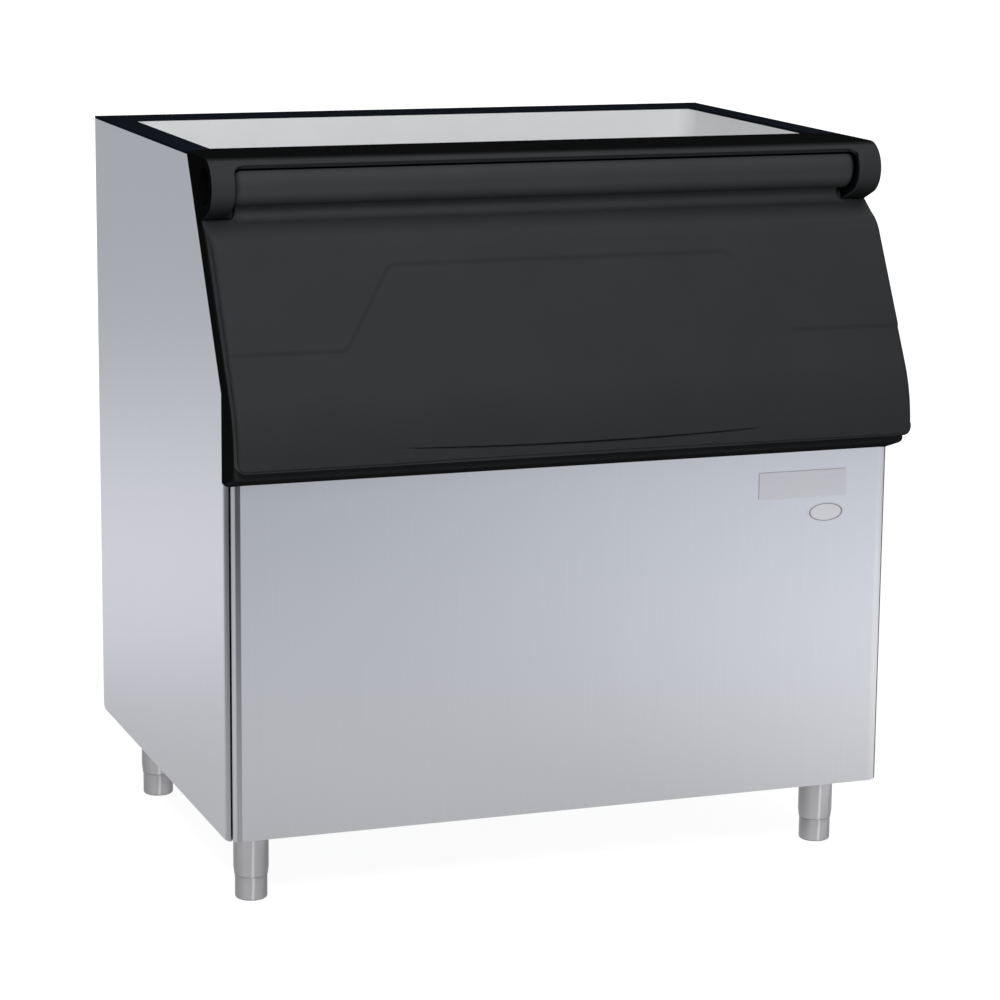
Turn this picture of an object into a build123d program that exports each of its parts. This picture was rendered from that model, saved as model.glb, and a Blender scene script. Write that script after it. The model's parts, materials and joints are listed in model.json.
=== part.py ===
from build123d import *
import math
import os

# Driving dimensions, in millimetres

width = 1070.0  # over the side panels
case_depth = 796.0  # front panel to rear panel
leg_height = 121.0  # floor to the underside of the case
case_height = 1001.0  # underside of the case to the top edge of the steel
rim_thickness = 4.0
slope_share = 0.2588  # share of the case's depth that the slope takes
foot_share = 0.632368  # share of the case's height below the foot of the slope
door_reach = 71.0  # how far the closed door stands ahead of the case
drain_reach = 28.0  # how far the drain outlet stands behind the case
overrun = 5.0  # how far every cut runs past what it cuts

# Steel case

sheet = 1.2
hem = 16.0  # width of the folded edges
slope_hem = 30.0  # width of the folded edge along the slope
corner_radius = 22.0
front_wrap = 38.0  # degrees that the front panel bends round the corner
side_wrap = 42.5  # degrees that the side panel bends round the corner
post_radius = 9.8
panel_foot_radius = 13.0  # rounded lower rear corner of the side panels
front_panel_drop = 4.0  # front panel's upper edge below the foot of the slope
panel_play = 0.3  # play round the base and rear panels

# Ice liner

liner_wall = 4.0
side_wall = 43.0  # from the case side to the inner face of the liner
rear_wall = 73.0
front_wall = 50.0
floor_wall = 64.0
liner_corner = 38.0
liner_flange = 20.0  # outward flange on the liner's top edge
nose_rise = 21.0  # liner nose above the foot of the slope

# Door frame

frame_proud = 38.0  # front of the frame, out from the slope
frame_stand = 45.0  # front of the frame, ahead of the case
frame_foot = 94.0  # underside of the frame at the case, below the slope's foot
frame_under_rise = 15.0  # how much that underside rises towards the front
frame_bend = 180.0
frame_edge = 8.0
frame_bottom_corner = 9.0
frame_bevel = 33.0  # length of the bevel that clears the door's shoulder
frame_top_proud = 27.0
sill_top = 30.0  # top of the sill, along the slope
frame_wall = 4.0

# Door seal and frame screws

seal_thickness = 1.7
seal_width = 7.5
seal_inset = 2.0  # from the door opening to the seal
seal_head = 262.0  # upper end of the seal, along the slope
frame_screw_radius = 2.5
frame_screw_head = 4.2
frame_screw_head_depth = 2.6
frame_screw_inset = 16.0  # from the door opening to the screws
frame_screw_length = 42.0
frame_screw_first = 50.0  # lowest screw, along the slope
frame_screw_pitch = 95.0
frame_screw_rows = 3

# Hinge, header and ears

ear_radius = 41.0
hinge_out = 68.5  # hinge axis, out from the slope
ear_width = 37.0
ear_edge = 5.0  # rounding of the ears' inner edges
ear_recess_radius = 27.0
ear_recess_depth = 12.0
stem_down = 37.35  # foot of the ears, down the slope from the hinge axis
stem_in = 37.8  # foot of the ears, nearer the slope than the hinge axis
lip_angle = 51.0  # degrees up from straight ahead where the lip ends
channel_radius = 33.5
header_wall = 4.0
header_drop = 48.0  # header's underside below the hinge axis
header_depth = 129.0  # hinge axis to the rear edge of the header
header_skirt = 22.0  # how far the channel's rear wall hangs below the header
pin_radius = 6.0
pin_head_radius = 10.0
pin_head_depth = 4.0
pin_grip = 28.0  # length of the pin inside the bush
bush_length = 30.0
collar_radius = 12.0
running_clearance = 0.05
end_play = 0.3  # bush collar to ear

# Door

roll_radius = 31.0
roll_wall = 5.0
roll_end_gap = 8.0  # ear to the end of the roll
door_wall = 3.5
door_proud = 63.0  # outer face of the door, out from the slope
door_rear = 40.0  # rear face of the door's edges, out from the slope
door_foot_drop = 64.0  # bottom of the door below the foot of the slope
door_rear_stand = 47.0  # rear of the door's foot, ahead of the case
shoulder_radius = 50.0
door_bend = 200.0
door_edge = 6.0
door_bottom_corner = 12.0
shoulder_fall = 28.5  # degrees that the shoulder falls towards the front
shoulder_gap = 1.2  # from the ears' feet to the door's shoulder
shoulder_tip = 2.0  # thickness of the shoulder's rear edge
door_bevel = 35.0  # length of the bevel behind the shoulder
neck_thickness = 18.0
neck_solid = 17.0  # depth of solid moulding that the tray's screws bite
plug_gap = 4.0  # inner tray to the cheeks
plug_foot = 37.0  # inner tray's lower edge, along the slope
plug_head = 266.0  # inner tray's upper wall, along the slope
plug_rear = 13.0  # inner tray's rear face, out from the slope
tray_wall = 3.0
tray_tongue = 17.0  # inner tray's rear face beyond its upper wall
step_depth = 2.4  # how far the lower part of the door's face is sunk
step_along = 80.0  # height of the step at the door's sides, along the slope
hump_along = 211.0  # height of the sunk hump, along the slope
hump_foot_half = 356.0
hump_head_half = 272.0
hump_corner = 28.0
step_corner = 10.0
grip_half = 285.0  # half the length of the finger grip
grip_height = 26.0  # upper edge of the grip above the door's bottom
grip_depth = 4.0
tray_screw_radius = 2.0
tray_screw_head = 4.0
tray_screw_head_depth = 1.8
tray_screw_length = 12.0
tray_screw_margin = 40.0
tray_screw_count = 6

# Legs and feet

leg_from_side = 63.0
leg_from_front = 101.0
leg_from_rear = 121.0
sleeve_radius = 27.0
sleeve_end_radius = 25.5
sleeve_taper = 13.0
sleeve_wall = 2.0
insert_height = 25.0
foot_radius = 24.75
foot_height = 36.7
foot_edge = 4.0
foot_gap = 0.3  # foot to sleeve when screwed right in
stud_radius = 8.0
stud_headroom = 14.2  # top of the stud below the leg plate
stud_seat = 6.0  # thickness of the foot under its stud
plate_side = 84.0
plate_thickness = 4.0
plate_corner = 8.0
bolt_radius = 3.0
bolt_head_radius = 5.5
bolt_head_depth = 4.0
bolt_length = 12.0
bolt_inset = 10.0

# Drain

drain_from_rear = 150.0
drain_bore = 11.0
drain_flange_radius = 30.0
drain_flange_depth = 3.0
drain_stem_radius = 19.0
drain_stem_length = 22.0
drain_nut_radius = 28.0
drain_nut_depth = 9.0
pipe_radius = 13.0
pipe_bend = 22.0
pipe_play = 0.2
pipe_socket = 10.0
strainer_radius = 26.0
strainer_depth = 2.0
strainer_hole = 2.5
strainer_ring_pitch = 9.0
strainer_rings = 2
strainer_holes_per_ring = 6
outlet_radius = 13.2
outlet_thread = 14.0  # radius where the outlet passes the rear panel
outlet_socket_radius = 17.0
outlet_socket_depth = 25.0
outlet_inside = 36.0  # length of the outlet inside the case
outlet_bore = 10.5
outlet_play = 0.3
locknut_radius = 20.0
locknut_depth = 6.0
hex_sides = 6

# Rear panel screws

rear_screw_radius = 2.0
rear_screw_head = 4.5
rear_screw_head_depth = 2.2
rear_screw_length = 14.0
rear_screw_margin = 60.0
rear_screw_rows = 6

# Bare plates on the front

badge_width = 148.0
badge_height = 42.0
badge_corner = 2.5
badge_thickness = 1.8
badge_from_right = 149.0  # middle of the badge from the right side
badge_below = 51.0  # middle of the badge below the frame's underside
oval_width = 61.0
oval_height = 30.0
oval_thickness = 0.4
oval_from_right = 108.5
oval_below = 97.5

# Places worked out from the sizes

half_width = width / 2
case_top = leg_height + case_height
overall_top = case_top + rim_thickness
slope_foot = leg_height + case_height * foot_share
slope_run = case_depth * slope_share
slope_angle = math.atan2(slope_run, overall_top - slope_foot)
overall_depth = door_reach + case_depth + drain_reach
front_y = door_reach - overall_depth / 2
hinge_height = overall_top - ear_radius
hinge_rise = hinge_height - slope_foot
hinge_behind = hinge_rise * math.tan(slope_angle) - hinge_out / math.cos(slope_angle)
stem_behind = stem_in * math.cos(slope_angle) - stem_down * math.sin(slope_angle)
stem_below = stem_down * math.cos(slope_angle) + stem_in * math.sin(slope_angle)
stem = (hinge_behind + stem_behind, hinge_height - stem_below)
opening_half = half_width - side_wall
ear_inner = half_width - ear_width
roll_half = ear_inner - roll_end_gap
plug_half = opening_half - plug_gap
frame_under = slope_foot - frame_foot
door_bottom = slope_foot - door_foot_drop
header_under = hinge_height - header_drop
header_rear = hinge_behind + header_depth
liner_floor = leg_height + floor_wall
liner_rear = case_depth - rear_wall
liner_nose = slope_foot + nose_rise
base_low = leg_height + sheet
base_high = base_low + sheet
rear_inside = case_depth - sheet - sheet
drain_behind = case_depth - drain_from_rear
stem_low = liner_floor - drain_stem_length
pipe_height = stem_low - pipe_bend
sleeve_low = foot_height + foot_gap
sleeve_top = base_low - plate_thickness
stud_top = sleeve_top - stud_headroom
locknut_back = case_depth - sheet + locknut_depth

# Places and shapes in the side view, where behind is measured from the case front


def up_slope(along, out):
    """Point (behind, height) from distances along the slope, from its foot, and out from it."""
    behind = along * math.sin(slope_angle) - out * math.cos(slope_angle)
    height = slope_foot + along * math.cos(slope_angle) + out * math.sin(slope_angle)
    return behind, height


def slope_along(behind, height):
    """How far along the slope a side-view point lies."""
    return behind * math.sin(slope_angle) + (height - slope_foot) * math.cos(slope_angle)


def slope_out(behind, height):
    """How far out from the slope a side-view point lies."""
    return (height - slope_foot) * math.sin(slope_angle) - behind * math.cos(slope_angle)


def slope_at_behind(behind, out):
    """Point at a distance out from the slope, at a place behind the case front."""
    along = (behind + out * math.cos(slope_angle)) / math.sin(slope_angle)
    return up_slope(along, out)


def slope_at_height(height, out):
    """Point at a distance out from the slope, at a height."""
    rise = height - slope_foot - out * math.sin(slope_angle)
    return up_slope(rise / math.cos(slope_angle), out)


def side_point(behind, height):
    """Side-view point as a place in space, in the middle of the bin."""
    return Vector(0, front_y + behind, height)


def outline(*corners):
    """Side-view face through corners (behind, height), each with a radius if it is rounded."""
    points = [side_point(corner[0], corner[1]) for corner in corners]
    starts = []
    ends = []
    arcs = []
    for index, point in enumerate(points):
        radius = corners[index][2] if len(corners[index]) > 2 else 0
        before = (points[index - 1] - point).normalized()
        after = (points[(index + 1) % len(points)] - point).normalized()
        half_turn = math.radians(before.get_angle(after)) / 2
        inward = (before + after).normalized()
        start = point + before * (radius / math.tan(half_turn))
        end = point + after * (radius / math.tan(half_turn))
        top = point + inward * (radius / math.sin(half_turn) - radius)
        starts.append(start)
        ends.append(end)
        arcs.append(Edge.make_three_point_arc(start, top, end) if radius else None)
    edges = []
    for index, arc in enumerate(arcs):
        if arc is not None:
            edges.append(arc)
        edges.append(Edge.make_line(ends[index], starts[(index + 1) % len(starts)]))
    return Face(Wire(edges))


def across(face, left, right):
    """Solid that a side-view face makes between two places across the bin."""
    return Pos(left, 0, 0) * extrude(face, amount=right - left, dir=(1, 0, 0))


def both_sides(solid):
    """A solid on the right with its mirror image on the left."""
    return solid + mirror(solid, Plane.YZ)


def block(left, right, front, back, low, high):
    """Box between two places on each axis, front and back measured from the case front."""
    size = Box(right - left, back - front, high - low, align=(Align.MIN, Align.MIN, Align.MIN))
    return Pos(left, front_y + front, low) * size


def rod(radius, length):
    """Cylinder that stands on its place."""
    return Cylinder(radius, length, align=(Align.CENTER, Align.CENTER, Align.MIN))


def upright(x, behind, radius, low, high):
    """Upright cylinder."""
    return Pos(x, front_y + behind, low) * rod(radius, high - low)


def crossways(radius, left, right):
    """Cylinder along the hinge axis."""
    return Pos(left, front_y + hinge_behind, hinge_height) * Rot(0, 90, 0) * rod(radius, right - left)


def lengthways(x, height, radius, front, back):
    """Cylinder that lies from front to back."""
    return Pos(x, front_y + front, height) * Rot(-90, 0, 0) * rod(radius, back - front)


def slope_plane(out):
    """Plane along the slope, with X across the bin and Y up the slope."""
    behind, height = up_slope(0, out)
    outward = (0, -math.cos(slope_angle), math.sin(slope_angle))
    return Plane(origin=(0, front_y + behind, height), x_dir=(1, 0, 0), z_dir=outward)


def slope_block(left, right, foot, head, low, high):
    """Box set square to the slope, low and high measured out from it."""
    size = Box(right - left, head - foot, high - low, align=(Align.MIN, Align.MIN, Align.MIN))
    return slope_plane(low) * Pos(left, foot, 0) * size


def slope_rod(x, along, radius, low, high):
    """Cylinder that stands out from the slope."""
    return slope_plane(low) * Pos(x, along, 0) * rod(radius, high - low)


def turned(x, behind, *corners):
    """Solid of revolution about an upright axis through corners (radius, height)."""
    points = [(corner[0], 0, corner[1]) for corner in corners]
    face = Face(Wire.make_polygon(points, close=True))
    return Pos(x, front_y + behind, 0) * revolve(face, Axis.Z)


def spread(first, last, count):
    """Evenly spaced places from first to last."""
    return [first + (last - first) * index / (count - 1) for index in range(count)]


def behind_slope(out, top):
    """Everything behind a plane along the slope, up to a height."""
    reach = half_width + overrun
    profile = outline(
        slope_at_height(0, out),
        (case_depth + overrun, 0),
        (case_depth + overrun, top),
        slope_at_height(top, out),
    )
    return across(profile, -reach, reach)


# Door frame


def frame_under_at(behind):
    """Height of the frame's underside, which rises towards the front."""
    return frame_under - behind * frame_under_rise / frame_stand


def make_frame_block():
    """The door frame's outer form, still solid."""
    frame_top = slope_along(*stem)
    form = outline(
        (corner_radius, frame_under_at(corner_radius)),
        (-frame_stand, frame_under_at(-frame_stand)),
        (*slope_at_behind(-frame_stand, frame_proud), frame_bend),
        up_slope(frame_top - frame_bevel, frame_proud),
        up_slope(frame_top, frame_top_proud),
        up_slope(frame_top, 0),
        slope_at_behind(corner_radius, 0),
    )
    frame = across(form, -half_width, half_width)
    frame = fillet(side_edges_under(frame), frame_bottom_corner)
    frame = fillet(front_edges(frame, frame_stand, frame_proud), frame_edge)
    head = frame_top + overrun
    open_way = outline(
        (0, frame_under_at(corner_radius) - overrun),
        (0, slope_foot),
        up_slope(sill_top, 0),
        up_slope(sill_top, frame_proud + overrun),
        up_slope(head, frame_proud + overrun),
        up_slope(head, -frame_proud),
        (corner_radius + overrun, slope_foot),
        (corner_radius + overrun, frame_under_at(corner_radius) - overrun),
    )
    return frame - across(open_way, -opening_half, opening_half)


def side_edges_under(solid):
    """Edges where a full-width solid's underside meets its sides."""
    edges = solid.edges().filter_by(lambda edge: abs(abs(edge.center().X) - half_width) < sheet)
    return edges.sort_by(lambda edge: edge.center().Z)[:2]


def front_edges(solid, stand, proud):
    """Edges round the front of a full-width solid, from its underside up both sides."""
    foot = min(vertex.Z for vertex in solid.vertices() if vertex.Y < front_y - stand + sheet)
    chosen = []
    for edge in solid.edges():
        middle = edge.position_at(1 / 2)
        behind = middle.Y - front_y
        at_front = behind < sheet - stand or slope_out(behind, middle.Z) > proud - sheet
        at_rear = behind > sheet - stand and middle.Z < foot + frame_edge
        level = abs(edge.tangent_at(1 / 2).X) > math.cos(slope_angle)
        at_side = abs(middle.X) > half_width - frame_bottom_corner and not level
        at_foot = level and middle.Z < foot + sheet
        if at_front and not at_rear and (at_side or at_foot):
            chosen.append(edge)
    return chosen


def frame_hollow():
    """Space inside the frame that its foam fills."""
    inner_proud = frame_proud - frame_wall
    inner_stand = frame_stand - frame_wall
    sill = outline(
        (0, frame_under + frame_wall),
        (-inner_stand, frame_under_at(-inner_stand) + frame_wall),
        (*slope_at_behind(-inner_stand, inner_proud), frame_bend - frame_wall),
        up_slope(sill_top - frame_wall, inner_proud),
        up_slope(sill_top - frame_wall, 0),
        (0, slope_foot),
    )
    cheek_head = slope_along(*stem) - frame_bevel
    inner = opening_half + frame_wall
    outer = half_width - frame_wall - frame_wall
    cheek = slope_block(inner, outer, sill_top + frame_wall, cheek_head, 0, inner_proud)
    sill_hollow = across(sill, frame_wall - opening_half, opening_half - frame_wall)
    return sill_hollow + both_sides(cheek)


def make_frame_screws():
    last = frame_screw_first + frame_screw_pitch * (frame_screw_rows - 1)
    seat = frame_proud - frame_screw_head_depth
    screws = []
    for x in (-opening_half - frame_screw_inset, opening_half + frame_screw_inset):
        for along in spread(frame_screw_first, last, frame_screw_rows):
            tip = seat - frame_screw_length
            shank = slope_rod(x, along, frame_screw_radius, tip, seat)
            screws.append(shank + slope_rod(x, along, frame_screw_head, seat, frame_proud))
    return screws


def make_door_seal():
    inner = opening_half + seal_inset
    outer = inner + seal_width
    top = frame_proud + seal_thickness
    strip = slope_block(-outer, outer, sill_top - seal_width, seal_head, frame_proud, top)
    return strip - slope_block(-inner, inner, sill_top, seal_head, frame_proud, top)


# Steel case


def bend(start, end, high):
    """Sheet bent round the right front corner between two angles from the front."""
    centre_x = half_width - corner_radius
    centre_y = front_y + corner_radius

    def place(radius, angle):
        turn = math.radians(angle)
        x = centre_x + radius * math.sin(turn)
        return Vector(x, centre_y - radius * math.cos(turn), leg_height)

    def arc(radius, first, last):
        middle = (first + last) / 2
        return Edge.make_three_point_arc(
            place(radius, first), place(radius, middle), place(radius, last)
        )

    inner = corner_radius - sheet
    edges = [
        arc(corner_radius, start, end),
        Edge.make_line(place(corner_radius, end), place(inner, end)),
        arc(inner, end, start),
        Edge.make_line(place(inner, start), place(corner_radius, start)),
    ]
    return extrude(Face(Wire(edges)), amount=high - leg_height, dir=(0, 0, 1))


def return_fold(angle, offset, high):
    """Fold that runs in from the corner to its post, at an angle from the front."""
    reach = corner_radius - sheet / 2 - post_radius
    fold = Box(reach, sheet, high - leg_height, align=(Align.MIN, Align.MIN, Align.MIN))
    corner = Pos(half_width - corner_radius, front_y + corner_radius, leg_height)
    return corner * Rot(0, 0, angle - 90) * Pos(post_radius, offset, 0) * fold


def make_side_panel(frame_block, screws):
    """The right side panel."""
    plate = outline(
        (corner_radius, leg_height),
        (case_depth, leg_height, panel_foot_radius),
        (case_depth, case_top),
        slope_at_height(case_top, 0),
        slope_at_behind(corner_radius, 0),
    )
    inner = half_width - sheet
    panel = across(plate, inner, half_width)
    wrap_end = 90 - side_wrap
    panel += bend(wrap_end, 90, slope_foot)
    panel += return_fold(wrap_end, 0, slope_foot)
    top_start, _ = slope_at_height(case_top, 0)
    panel += block(inner - hem, inner, top_start, case_depth, case_top - sheet, case_top)
    foot_end = case_depth - panel_foot_radius
    panel += block(inner - hem, inner, corner_radius, foot_end, leg_height, base_low)
    rear_foot = leg_height + panel_foot_radius
    panel += block(inner - hem, inner, case_depth - sheet, case_depth, rear_foot, case_top)
    fold = outline(
        slope_at_behind(corner_radius + sheet, 0),
        slope_at_height(case_top, 0),
        slope_at_height(case_top, -sheet),
        slope_at_behind(corner_radius + sheet, -sheet),
    )
    panel += across(fold, inner - slope_hem, inner)
    panel -= frame_block
    for screw in screws:
        panel -= screw
    return panel


def make_front_panel(frame_block):
    top = slope_foot - front_panel_drop
    flat = half_width - corner_radius
    corner = bend(0, front_wrap, top) + return_fold(front_wrap, -sheet, top)
    panel = block(-flat, flat, 0, sheet, leg_height, top) + both_sides(corner)
    panel += block(-flat, flat, 0, hem, leg_height, base_low)
    return panel - frame_block


def make_corner_post():
    """The right corner post."""
    top = frame_under_at(corner_radius + post_radius) - overrun
    return upright(half_width - corner_radius, corner_radius, post_radius, base_low, top)


def corner_notch(high):
    """Room for both folded front corners, up to a height."""
    reach = post_radius + overrun
    x = half_width - corner_radius - reach
    return both_sides(block(x, half_width, 0, corner_radius + reach, leg_height, high))


def make_base_panel(bolts):
    edge = half_width - sheet - panel_play
    panel = block(-edge, edge, sheet + panel_play, rear_inside - panel_play, base_low, base_high)
    panel -= corner_notch(base_high)
    for bolt in bolts:
        panel -= bolt
    return panel


def make_rear_panel(screws):
    edge = half_width - sheet - panel_play
    back = case_depth - sheet
    top = case_top - sheet - panel_play
    panel = block(-edge, edge, rear_inside, back, base_high, top)
    for screw in screws:
        panel -= screw
    hole = outlet_thread + outlet_play
    return panel - lengthways(0, pipe_height, hole, rear_inside - overrun, case_depth)


def make_rear_screws():
    first = leg_height + rear_screw_margin
    tip = case_depth - rear_screw_length
    head_back = case_depth + rear_screw_head_depth
    x = half_width - sheet - hem / 2
    screws = []
    for side in (-x, x):
        for height in spread(first, case_top - rear_screw_margin, rear_screw_rows):
            shank = lengthways(side, height, rear_screw_radius, tip, case_depth)
            screws.append(shank + lengthways(side, height, rear_screw_head, case_depth, head_back))
    return screws


def make_top_rim():
    wedge, _ = slope_at_height(overall_top, 0)
    corners = [
        (half_width, wedge),
        (half_width, case_depth),
        (-half_width, case_depth),
        (-half_width, wedge),
        (-opening_half, header_rear),
        (-opening_half, liner_rear),
        (opening_half, liner_rear),
        (opening_half, header_rear),
    ]
    points = [(x, front_y + behind, case_top) for x, behind in corners]
    face = Face(Wire.make_polygon(points, close=True))
    return extrude(face, amount=rim_thickness, dir=(0, 0, 1))


def make_badge_plate():
    x = half_width - badge_from_right
    height = frame_under - badge_below
    plate = Box(badge_width, badge_thickness, badge_height)
    plate = fillet(plate.edges().filter_by(Axis.Y), badge_corner)
    return Pos(x, front_y - badge_thickness / 2, height) * plate


def make_oval_badge():
    x = half_width - oval_from_right
    height = frame_under - oval_below
    face = Plane(origin=(x, front_y, height), x_dir=(1, 0, 0), z_dir=(0, -1, 0))
    return extrude(face * Ellipse(oval_width / 2, oval_height / 2), amount=oval_thickness)


# Ice liner and insulation


def tub(grow):
    """Filled form of the ice tub, grown outwards by a wall, running past the case top."""
    half = opening_half + grow
    top = case_top + overrun
    tank = block(-half, half, front_wall - grow, liner_rear + grow, liner_floor - grow, top)
    rounded = [edge for edge in tank.edges() if edge.center().Z < case_top]
    return fillet(rounded, liner_corner + grow)


def throat(grow, out):
    """Space above the liner's nose, from a plane along the slope back into the tub."""
    half = opening_half + grow
    top = case_top + overrun
    nose = liner_nose - grow
    profile = outline(
        slope_at_height(nose, out),
        (front_wall + liner_corner + liner_corner, nose),
        (front_wall + liner_corner + liner_corner, slope_foot + slope_run),
        (header_rear, top),
        slope_at_height(top, out),
    )
    return across(profile, -half, half)


def make_liner_block():
    """The liner with its inside filled."""
    return (tub(liner_wall) + throat(liner_wall, 0)) & behind_slope(0, case_top)


def make_ice_liner(liner_block, frame_block):
    half = opening_half + liner_wall + liner_flange
    back = liner_rear + liner_wall + liner_flange
    flange = block(-half, half, 0, back, case_top - liner_wall, case_top)
    liner = liner_block + (flange & behind_slope(-sheet, case_top))
    liner -= tub(0)
    liner -= throat(0, overrun)
    liner -= frame_block
    return liner - upright(0, drain_behind, drain_stem_radius, leg_height, liner_floor)


def make_insulation(liner_block, frame_block, buried):
    edge = half_width - sheet
    top = case_top - liner_wall
    profile = outline(
        (sheet, base_high),
        (rear_inside, base_high),
        (rear_inside, top),
        slope_at_height(top, -sheet),
        slope_at_behind(sheet, -sheet),
    )
    foam = across(profile, -edge, edge) - liner_block - frame_block
    foam -= corner_notch(frame_under + frame_bottom_corner)
    foam -= upright(0, drain_behind, drain_stem_radius, stem_low, liner_floor)
    foam -= lengthways(0, pipe_height, outlet_radius, drain_behind, case_depth)
    for solid in buried:
        foam -= solid
    return foam


# Drain


def make_drain_fitting():
    flange_top = liner_floor + drain_flange_depth
    socket = pipe_radius + pipe_play
    return turned(
        0,
        drain_behind,
        (drain_bore, flange_top),
        (drain_flange_radius, flange_top),
        (drain_flange_radius, liner_floor),
        (drain_stem_radius, liner_floor),
        (drain_stem_radius, stem_low),
        (socket, stem_low),
        (socket, stem_low + pipe_socket),
        (drain_bore, stem_low + pipe_socket),
    )


def make_drain_nut():
    underside = liner_floor - liner_wall
    face = Plane(origin=(0, front_y + drain_behind, underside - drain_nut_depth))
    hexagon = RegularPolygon(drain_nut_radius, hex_sides) - Circle(drain_stem_radius)
    return extrude(face * hexagon, amount=drain_nut_depth)


def pipe_path():
    """Centre line of the drain pipe, down from the fitting and back to the outlet."""
    turn = math.pi / 4
    top = side_point(drain_behind, stem_low + pipe_socket)
    start = side_point(drain_behind, stem_low)
    side = pipe_bend * (1 - math.cos(turn))
    middle = side_point(drain_behind + side, stem_low - pipe_bend * math.sin(turn))
    end = side_point(drain_behind + pipe_bend, pipe_height)
    back = side_point(case_depth - outlet_inside + outlet_socket_depth, pipe_height)
    edges = [
        Edge.make_line(top, start),
        Edge.make_three_point_arc(start, middle, end),
        Edge.make_line(end, back),
    ]
    return Wire(edges)


def make_drain_pipe(radius):
    path = pipe_path()
    mouth = Plane(origin=path.position_at(0), z_dir=(0, 0, -1))
    return sweep(mouth * Circle(radius), path=path)


def make_drain_strainer():
    low = liner_floor + drain_flange_depth
    high = low + strainer_depth
    disc = upright(0, drain_behind, strainer_radius, low, high)
    disc -= upright(0, drain_behind, strainer_hole, low, high)
    for ring in range(1, strainer_rings + 1):
        count = strainer_holes_per_ring * ring
        for index in range(count):
            turn = 2 * math.pi * index / count
            x = strainer_ring_pitch * ring * math.cos(turn)
            behind = drain_behind + strainer_ring_pitch * ring * math.sin(turn)
            disc -= upright(x, behind, strainer_hole, low, high)
    return disc


def make_drain_outlet():
    front = case_depth - outlet_inside
    shoulder = front + outlet_socket_depth
    back = case_depth + drain_reach
    outlet = lengthways(0, pipe_height, outlet_socket_radius, front, rear_inside)
    outlet += lengthways(0, pipe_height, outlet_thread, front, locknut_back)
    outlet += lengthways(0, pipe_height, outlet_radius, front, back)
    outlet -= lengthways(0, pipe_height, pipe_radius + pipe_play, front, shoulder)
    return outlet - lengthways(0, pipe_height, outlet_bore, front, back)


def make_drain_locknut():
    back = front_y + case_depth - sheet
    face = Plane(origin=(0, back, pipe_height), x_dir=(1, 0, 0), z_dir=(0, 1, 0))
    hexagon = RegularPolygon(locknut_radius, hex_sides) - Circle(outlet_thread)
    return extrude(face * hexagon, amount=locknut_depth)


# Header over the door


def round_hinge(radius, angle):
    """Side-view point at an angle about the hinge axis, up from straight ahead, in degrees."""
    turn = math.radians(angle)
    return side_point(
        hinge_behind - radius * math.cos(turn), hinge_height + radius * math.sin(turn)
    )


def hinge_arc(radius, first, last):
    middle = (first + last) / 2
    return Edge.make_three_point_arc(
        round_hinge(radius, first), round_hinge(radius, middle), round_hinge(radius, last)
    )


def line(*points):
    """Straight edges from point to point."""
    return [Edge.make_line(start, end) for start, end in zip(points, points[1:])]


def channel_back():
    """Radius of the channel's outer face and the angle where it meets the header's top wall."""
    radius = channel_radius + header_wall
    angle = 180 - math.degrees(math.asin((ear_radius - header_wall) / radius))
    return radius, angle


def header_skin():
    """Side-view face of the header's moulding, between its ears."""
    radius, meeting = channel_back()
    under_top = overall_top - header_wall
    edges = line(
        round_hinge(channel_radius, 180),
        side_point(hinge_behind + channel_radius, header_under),
        side_point(hinge_behind + radius, header_under),
        round_hinge(radius, 180),
    )
    edges.append(hinge_arc(radius, 180, meeting))
    edges += line(
        round_hinge(radius, meeting),
        side_point(header_rear, under_top),
        side_point(header_rear, overall_top),
        round_hinge(ear_radius, 90),
    )
    edges.append(hinge_arc(ear_radius, 90, lip_angle))
    edges += line(round_hinge(ear_radius, lip_angle), round_hinge(channel_radius, lip_angle))
    edges.append(hinge_arc(channel_radius, lip_angle, 180))
    return Face(Wire(edges))


def stem_tangent():
    """Angle round the hinge where an ear's circle meets the front of its stem."""
    away = math.hypot(stem_behind, stem_below)
    stem_angle = math.degrees(math.atan2(-stem_below, -stem_behind))
    return stem_angle + math.degrees(math.acos(ear_radius / away))


def ear_face():
    """Side-view face of an ear with its stem, which ends on the slope."""
    tangent = stem_tangent()
    edges = [hinge_arc(ear_radius, 90, tangent)]
    edges += line(
        round_hinge(ear_radius, tangent),
        side_point(*stem),
        side_point(*up_slope(slope_along(*stem), 0)),
        side_point(*slope_at_height(overall_top, 0)),
        round_hinge(ear_radius, 90),
    )
    return Face(Wire(edges))


def ear_rounding():
    """Cut that rounds the right ear's inner edge, from its top down its front to its foot."""
    top = hinge_height + ear_radius
    low = top - ear_edge
    full = ear_inner + ear_edge
    dip = ear_edge * (1 - math.cos(math.pi / 4))
    level = front_y + hinge_behind
    start = Vector(ear_inner, level, low)
    end = Vector(full, level, top)
    edges = [Edge.make_three_point_arc(start, Vector(ear_inner + dip, level, top - dip), end)]
    edges += line(
        end,
        Vector(full, level, top + overrun),
        Vector(ear_inner - overrun, level, top + overrun),
        Vector(ear_inner - overrun, level, low),
        start,
    )
    profile = Face(Wire(edges))
    axis = Axis((0, level, hinge_height), (1, 0, 0))
    tangent = stem_tangent()
    turn = 90 - tangent
    down = side_point(*stem) - round_hinge(ear_radius, tangent)
    straight = extrude(profile.rotate(axis, turn), amount=down.length + overrun, dir=down)
    return revolve(profile, axis=axis, revolution_arc=turn) + straight


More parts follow.
